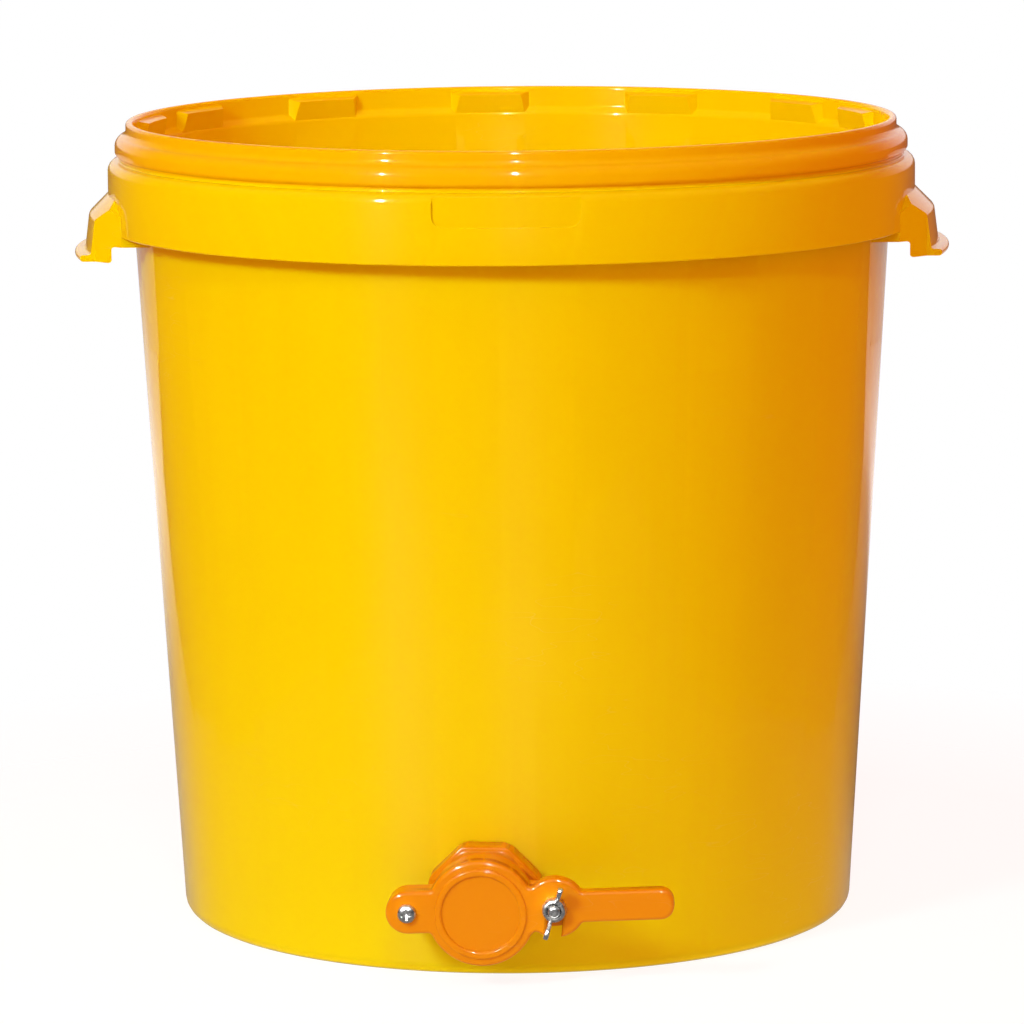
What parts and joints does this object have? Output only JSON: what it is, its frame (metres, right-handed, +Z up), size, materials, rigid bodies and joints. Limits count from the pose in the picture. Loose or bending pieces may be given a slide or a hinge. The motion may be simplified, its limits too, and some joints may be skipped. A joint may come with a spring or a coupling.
{
  "type": "honey settling tank",
  "caption": "Tapered plastic tank with a skirted rim, moulded side grips and a swing-blade outlet gate at the foot, for settling honey and drawing it off.",
  "frame": {"origin": "centre of the base, on the plane the tank stands on", "axes": "+Z up along the tank's axis, -Y towards the front where the gate is, +X to the right grip"},
  "size_m": [0.425, 0.4072, 0.389],
  "materials": {
    "tank_plastic": "glossy",
    "gate_plastic": "glossy",
    "gasket_rubber": "matte",
    "zinc_steel": "bright"
  },
  "bodies": {
    "tank": {"tank_body": "tank_plastic", "gate_outer_gasket": "gasket_rubber", "gate_body": "gate_plastic", "gate_inner_gasket": "gasket_rubber", "gate_ring_nut": "gate_plastic", "pivot_screw": "zinc_steel", "pivot_washer": "zinc_steel", "pivot_nut": "zinc_steel", "clamp_bolt": "zinc_steel"},
    "blade": {"gate_blade": "gate_plastic"},
    "clamp_washer": {"clamp_washer": "zinc_steel"},
    "wing_nut": {"wing_nut": "zinc_steel"}
  },
  "joints": [
    {"name": "blade_swing", "type": "hinge", "parent": "tank", "child": "blade", "pos_m": [-0.04827, -0.18765, 0.03756], "axis": [-0.074, -0.9956, -0.0576], "range_deg": [0, 110]},
    {"name": "clamp_slide", "type": "slide", "parent": "tank", "child": "clamp_washer", "axis": [-0.074, -0.9956, -0.0576], "range_m": [0, 0.003]},
    {"name": "wing_nut_turn", "type": "hinge", "parent": "clamp_washer", "child": "wing_nut", "pos_m": [0.02005, -0.1929, 0.04072], "axis": [-0.074, -0.9956, -0.0576], "range_deg": [0, 1080]}
  ],
  "couplings": [
    {"joint": "clamp_slide", "follows": "wing_nut_turn", "m_per_rad": 0.00015915}
  ]
}
